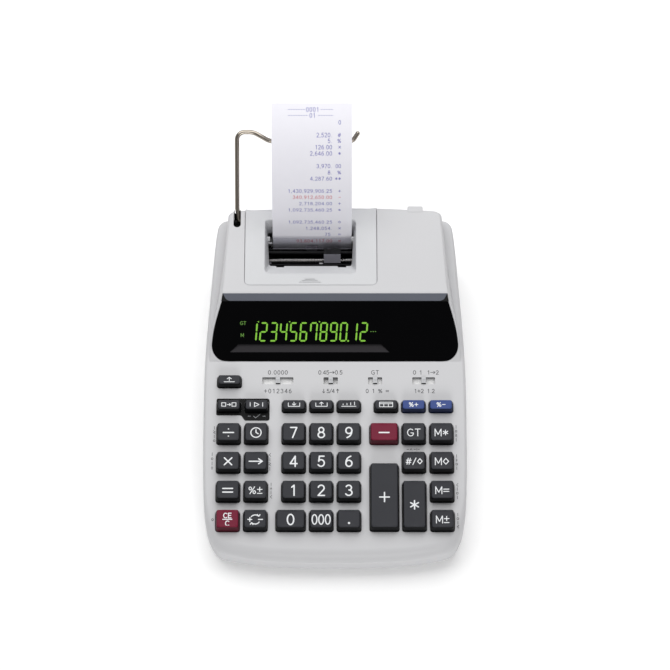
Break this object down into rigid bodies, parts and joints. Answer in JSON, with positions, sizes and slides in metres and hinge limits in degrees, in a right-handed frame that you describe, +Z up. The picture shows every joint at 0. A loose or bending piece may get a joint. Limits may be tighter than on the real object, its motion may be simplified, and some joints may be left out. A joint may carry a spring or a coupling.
{
  "type": "desk printing calculator",
  "caption": "Wedge-shaped desk printing calculator with sprung keys, slide switches, a lit display, a serial printer under a lift-off cover and a wire arm for the paper roll.",
  "frame": {"origin": "on the desk surface under the middle of the whole object's box, in X and Y", "axes": "+Z up, -Y towards the person at the keyboard, +X to their right"},
  "size_m": [0.183, 0.318, 0.1556],
  "materials": {
    "lower_case_grey": "fine-grained moulded ABS, a shade darker than the upper case",
    "case_grey": "fine-grained moulded ABS",
    "gloss_black": "polished black acrylic",
    "tube_glass": "display tube glass",
    "smoked_clear": "smoked clear acrylic",
    "chrome_wire": "bright plated wire",
    "paper_white": "smooth uncoated paper",
    "dark_plastic": "dark glass-filled plastic",
    "black_rubber": "matt black rubber",
    "ink_sponge": "inked sponge",
    "bright_steel": "turned steel",
    "motor_steel": "plated motor can",
    "board_green": "solder-masked board",
    "dome_rubber": "silicone rubber",
    "switch_grey": "satin plastic",
    "key_charcoal": "satin moulded plastic",
    "key_red": "satin moulded plastic",
    "key_blue": "satin moulded plastic"
  },
  "bodies": {
    "case": {"bottom_case": "lower_case_grey", "top_case": "case_grey", "display_window": "gloss_black", "display_tube": "tube_glass", "paper_strip": "paper_white", "printer_frame": "dark_plastic", "printer_motor": "motor_steel", "circuit_board": "board_green", "key_membrane": "dome_rubber", "rubber_feet": "black_rubber"},
    "printer_cover": {"printer_cover": "case_grey", "tear_bar": "smoked_clear"},
    "paper_arm": {"paper_arm": "chrome_wire"},
    "paper_roll": {"paper_roll": "paper_white"},
    "platen_roller": {"platen_roller": "black_rubber"},
    "print_carriage": {"print_carriage": "dark_plastic"},
    "ink_roller": {"ink_roller": "ink_sponge"},
    "drive_screw": {"drive_screw": "bright_steel"},
    "key_feed": {"key_feed": "key_charcoal"},
    "key_mode": {"key_mode": "key_charcoal"},
    "key_start": {"key_start": "key_charcoal"},
    "key_cost": {"key_cost": "key_charcoal"},
    "key_sell": {"key_sell": "key_charcoal"},
    "key_margin": {"key_margin": "key_charcoal"},
    "key_calendar": {"key_calendar": "key_charcoal"},
    "key_tax_plus": {"key_tax_plus": "key_blue"},
    "key_tax_minus": {"key_tax_minus": "key_blue"},
    "key_divide": {"key_divide": "key_charcoal"},
    "key_time": {"key_time": "key_charcoal"},
    "key_7": {"key_7": "key_charcoal"},
    "key_8": {"key_8": "key_charcoal"},
    "key_9": {"key_9": "key_charcoal"},
    "key_minus": {"key_minus": "key_red"},
    "key_grand_total": {"key_grand_total": "key_charcoal"},
    "key_memory_total": {"key_memory_total": "key_charcoal"},
    "key_multiply": {"key_multiply": "key_charcoal"},
    "key_shift": {"key_shift": "key_charcoal"},
    "key_4": {"key_4": "key_charcoal"},
    "key_5": {"key_5": "key_charcoal"},
    "key_6": {"key_6": "key_charcoal"},
    "key_non_add": {"key_non_add": "key_charcoal"},
    "key_memory_subtotal": {"key_memory_subtotal": "key_charcoal"},
    "key_equals": {"key_equals": "key_charcoal"},
    "key_percent": {"key_percent": "key_charcoal"},
    "key_1": {"key_1": "key_charcoal"},
    "key_2": {"key_2": "key_charcoal"},
    "key_3": {"key_3": "key_charcoal"},
    "key_memory_equals": {"key_memory_equals": "key_charcoal"},
    "key_plus": {"key_plus": "key_charcoal"},
    "key_total": {"key_total": "key_charcoal"},
    "key_clear": {"key_clear": "key_red"},
    "key_sign": {"key_sign": "key_charcoal"},
    "key_0": {"key_0": "key_charcoal"},
    "key_000": {"key_000": "key_charcoal"},
    "key_point": {"key_point": "key_charcoal"},
    "key_memory_plus": {"key_memory_plus": "key_charcoal"},
    "decimal_switch": {"decimal_switch": "switch_grey"},
    "rounding_switch": {"rounding_switch": "switch_grey"},
    "grand_total_switch": {"grand_total_switch": "switch_grey"},
    "power_switch": {"power_switch": "switch_grey"}
  },
  "joints": [
    {"name": "decimal_switch_slide", "type": "slide", "parent": "case", "child": "decimal_switch", "axis": [1, 0, 0], "range_m": [-0.0091, 0.0091]},
    {"name": "rounding_switch_slide", "type": "slide", "parent": "case", "child": "rounding_switch", "axis": [1, 0, 0], "range_m": [-0.0032, 0.0032]},
    {"name": "grand_total_switch_slide", "type": "slide", "parent": "case", "child": "grand_total_switch", "axis": [1, 0, 0], "range_m": [-0.00315, 0.00315]},
    {"name": "power_switch_slide", "type": "slide", "parent": "case", "child": "power_switch", "axis": [1, 0, 0], "range_m": [-0.00615, 0.00615]},
    {"name": "printer_cover_lift", "type": "slide", "parent": "case", "child": "printer_cover", "axis": [0, 0.1908, 0.9816], "range_m": [0, 0.018]},
    {"name": "paper_arm_swing", "type": "hinge", "parent": "case", "child": "paper_arm", "pos_m": [-0.064, 0.089, 0.0635], "axis": [1, 0, 0], "range_deg": [0, 20], "deforming": ["paper_strip"]},
    {"name": "paper_roll_spin", "type": "hinge", "parent": "paper_arm", "child": "paper_roll", "pos_m": [-0.0163, 0.13415, 0.09455], "axis": [1, 0, 0], "continuous": true},
    {"name": "platen_roller_spin", "type": "hinge", "parent": "case", "child": "platen_roller", "pos_m": [-0.0163, 0.0813, 0.045], "axis": [1, 0, 0], "continuous": true},
    {"name": "print_carriage_slide", "type": "slide", "parent": "case", "child": "print_carriage", "axis": [1, 0, 0], "range_m": [-0.036, 0.008]},
    {"name": "drive_screw_spin", "type": "hinge", "parent": "case", "child": "drive_screw", "pos_m": [-0.016, 0.064, 0.05], "axis": [1, 0, 0], "range_deg": [-1640, 370]},
    {"name": "ink_roller_spin", "type": "hinge", "parent": "print_carriage", "child": "ink_roller", "pos_m": [-0.002, 0.0635, 0.043], "axis": [1, 0, 0], "continuous": true},
    {"name": "key_feed_press", "type": "slide", "parent": "case", "child": "key_feed", "axis": [0, 0.1219, -0.9925], "range_m": [0, 0.003], "stiffness_N_per_m": 150, "springref_m": -0.002, "deforming": ["key_membrane"]},
    {"name": "key_mode_press", "type": "slide", "parent": "case", "child": "key_mode", "axis": [0, 0.1219, -0.9925], "range_m": [0, 0.003], "stiffness_N_per_m": 150, "springref_m": -0.002, "deforming": ["key_membrane"]},
    {"name": "key_start_press", "type": "slide", "parent": "case", "child": "key_start", "axis": [0, 0.1219, -0.9925], "range_m": [0, 0.003], "stiffness_N_per_m": 150, "springref_m": -0.002, "deforming": ["key_membrane"]},
    {"name": "key_cost_press", "type": "slide", "parent": "case", "child": "key_cost", "axis": [0, 0.1219, -0.9925], "range_m": [0, 0.003], "stiffness_N_per_m": 150, "springref_m": -0.002, "deforming": ["key_membrane"]},
    {"name": "key_sell_press", "type": "slide", "parent": "case", "child": "key_sell", "axis": [0, 0.1219, -0.9925], "range_m": [0, 0.003], "stiffness_N_per_m": 150, "springref_m": -0.002, "deforming": ["key_membrane"]},
    {"name": "key_margin_press", "type": "slide", "parent": "case", "child": "key_margin", "axis": [0, 0.1219, -0.9925], "range_m": [0, 0.003], "stiffness_N_per_m": 150, "springref_m": -0.002, "deforming": ["key_membrane"]},
    {"name": "key_calendar_press", "type": "slide", "parent": "case", "child": "key_calendar", "axis": [0, 0.1219, -0.9925], "range_m": [0, 0.003], "stiffness_N_per_m": 150, "springref_m": -0.002, "deforming": ["key_membrane"]},
    {"name": "key_tax_plus_press", "type": "slide", "parent": "case", "child": "key_tax_plus", "axis": [0, 0.1219, -0.9925], "range_m": [0, 0.003], "stiffness_N_per_m": 150, "springref_m": -0.002, "deforming": ["key_membrane"]},
    {"name": "key_tax_minus_press", "type": "slide", "parent": "case", "child": "key_tax_minus", "axis": [0, 0.1219, -0.9925], "range_m": [0, 0.003], "stiffness_N_per_m": 150, "springref_m": -0.002, "deforming": ["key_membrane"]},
    {"name": "key_divide_press", "type": "slide", "parent": "case", "child": "key_divide", "axis": [0, 0.1219, -0.9925], "range_m": [0, 0.003], "stiffness_N_per_m": 150, "springref_m": -0.002, "deforming": ["key_membrane"]},
    {"name": "key_time_press", "type": "slide", "parent": "case", "child": "key_time", "axis": [0, 0.1219, -0.9925], "range_m": [0, 0.003], "stiffness_N_per_m": 150, "springref_m": -0.002, "deforming": ["key_membrane"]},
    {"name": "key_7_press", "type": "slide", "parent": "case", "child": "key_7", "axis": [0, 0.1219, -0.9925], "range_m": [0, 0.003], "stiffness_N_per_m": 150, "springref_m": -0.002, "deforming": ["key_membrane"]},
    {"name": "key_8_press", "type": "slide", "parent": "case", "child": "key_8", "axis": [0, 0.1219, -0.9925], "range_m": [0, 0.003], "stiffness_N_per_m": 150, "springref_m": -0.002, "deforming": ["key_membrane"]},
    {"name": "key_9_press", "type": "slide", "parent": "case", "child": "key_9", "axis": [0, 0.1219, -0.9925], "range_m": [0, 0.003], "stiffness_N_per_m": 150, "springref_m": -0.002, "deforming": ["key_membrane"]},
    {"name": "key_minus_press", "type": "slide", "parent": "case", "child": "key_minus", "axis": [0, 0.1219, -0.9925], "range_m": [0, 0.003], "stiffness_N_per_m": 150, "springref_m": -0.002, "deforming": ["key_membrane"]},
    {"name": "key_grand_total_press", "type": "slide", "parent": "case", "child": "key_grand_total", "axis": [0, 0.1219, -0.9925], "range_m": [0, 0.003], "stiffness_N_per_m": 150, "springref_m": -0.002, "deforming": ["key_membrane"]},
    {"name": "key_memory_total_press", "type": "slide", "parent": "case", "child": "key_memory_total", "axis": [0, 0.1219, -0.9925], "range_m": [0, 0.003], "stiffness_N_per_m": 150, "springref_m": -0.002, "deforming": ["key_membrane"]},
    {"name": "key_multiply_press", "type": "slide", "parent": "case", "child": "key_multiply", "axis": [0, 0.1219, -0.9925], "range_m": [0, 0.003], "stiffness_N_per_m": 150, "springref_m": -0.002, "deforming": ["key_membrane"]},
    {"name": "key_shift_press", "type": "slide", "parent": "case", "child": "key_shift", "axis": [0, 0.1219, -0.9925], "range_m": [0, 0.003], "stiffness_N_per_m": 150, "springref_m": -0.002, "deforming": ["key_membrane"]},
    {"name": "key_4_press", "type": "slide", "parent": "case", "child": "key_4", "axis": [0, 0.1219, -0.9925], "range_m": [0, 0.003], "stiffness_N_per_m": 150, "springref_m": -0.002, "deforming": ["key_membrane"]},
    {"name": "key_5_press", "type": "slide", "parent": "case", "child": "key_5", "axis": [0, 0.1219, -0.9925], "range_m": [0, 0.003], "stiffness_N_per_m": 150, "springref_m": -0.002, "deforming": ["key_membrane"]},
    {"name": "key_6_press", "type": "slide", "parent": "case", "child": "key_6", "axis": [0, 0.1219, -0.9925], "range_m": [0, 0.003], "stiffness_N_per_m": 150, "springref_m": -0.002, "deforming": ["key_membrane"]},
    {"name": "key_non_add_press", "type": "slide", "parent": "case", "child": "key_non_add", "axis": [0, 0.1219, -0.9925], "range_m": [0, 0.003], "stiffness_N_per_m": 150, "springref_m": -0.002, "deforming": ["key_membrane"]},
    {"name": "key_memory_subtotal_press", "type": "slide", "parent": "case", "child": "key_memory_subtotal", "axis": [0, 0.1219, -0.9925], "range_m": [0, 0.003], "stiffness_N_per_m": 150, "springref_m": -0.002, "deforming": ["key_membrane"]},
    {"name": "key_equals_press", "type": "slide", "parent": "case", "child": "key_equals", "axis": [0, 0.1219, -0.9925], "range_m": [0, 0.003], "stiffness_N_per_m": 150, "springref_m": -0.002, "deforming": ["key_membrane"]},
    {"name": "key_percent_press", "type": "slide", "parent": "case", "child": "key_percent", "axis": [0, 0.1219, -0.9925], "range_m": [0, 0.003], "stiffness_N_per_m": 150, "springref_m": -0.002, "deforming": ["key_membrane"]},
    {"name": "key_1_press", "type": "slide", "parent": "case", "child": "key_1", "axis": [0, 0.1219, -0.9925], "range_m": [0, 0.003], "stiffness_N_per_m": 150, "springref_m": -0.002, "deforming": ["key_membrane"]},
    {"name": "key_2_press", "type": "slide", "parent": "case", "child": "key_2", "axis": [0, 0.1219, -0.9925], "range_m": [0, 0.003], "stiffness_N_per_m": 150, "springref_m": -0.002, "deforming": ["key_membrane"]},
    {"name": "key_3_press", "type": "slide", "parent": "case", "child": "key_3", "axis": [0, 0.1219, -0.9925], "range_m": [0, 0.003], "stiffness_N_per_m": 150, "springref_m": -0.002, "deforming": ["key_membrane"]},
    {"name": "key_memory_equals_press", "type": "slide", "parent": "case", "child": "key_memory_equals", "axis": [0, 0.1219, -0.9925], "range_m": [0, 0.003], "stiffness_N_per_m": 150, "springref_m": -0.002, "deforming": ["key_membrane"]},
    {"name": "key_plus_press", "type": "slide", "parent": "case", "child": "key_plus", "axis": [0, 0.1219, -0.9925], "range_m": [0, 0.003], "stiffness_N_per_m": 150, "springref_m": -0.002, "deforming": ["key_membrane"]},
    {"name": "key_total_press", "type": "slide", "parent": "case", "child": "key_total", "axis": [0, 0.1219, -0.9925], "range_m": [0, 0.003], "stiffness_N_per_m": 150, "springref_m": -0.002, "deforming": ["key_membrane"]},
    {"name": "key_clear_press", "type": "slide", "parent": "case", "child": "key_clear", "axis": [0, 0.1219, -0.9925], "range_m": [0, 0.003], "stiffness_N_per_m": 150, "springref_m": -0.002, "deforming": ["key_membrane"]},
    {"name": "key_sign_press", "type": "slide", "parent": "case", "child": "key_sign", "axis": [0, 0.1219, -0.9925], "range_m": [0, 0.003], "stiffness_N_per_m": 150, "springref_m": -0.002, "deforming": ["key_membrane"]},
    {"name": "key_0_press", "type": "slide", "parent": "case", "child": "key_0", "axis": [0, 0.1219, -0.9925], "range_m": [0, 0.003], "stiffness_N_per_m": 150, "springref_m": -0.002, "deforming": ["key_membrane"]},
    {"name": "key_000_press", "type": "slide", "parent": "case", "child": "key_000", "axis": [0, 0.1219, -0.9925], "range_m": [0, 0.003], "stiffness_N_per_m": 150, "springref_m": -0.002, "deforming": ["key_membrane"]},
    {"name": "key_point_press", "type": "slide", "parent": "case", "child": "key_point", "axis": [0, 0.1219, -0.9925], "range_m": [0, 0.003], "stiffness_N_per_m": 150, "springref_m": -0.002, "deforming": ["key_membrane"]},
    {"name": "key_memory_plus_press", "type": "slide", "parent": "case", "child": "key_memory_plus", "axis": [0, 0.1219, -0.9925], "range_m": [0, 0.003], "stiffness_N_per_m": 150, "springref_m": -0.002, "deforming": ["key_membrane"]}
  ],
  "couplings": [
    {"joint": "platen_roller_spin", "follows": "paper_roll_spin", "ratio": 5},
    {"joint": "drive_screw_spin", "follows": "print_carriage_slide", "rad_per_m": 785.4}
  ]
}
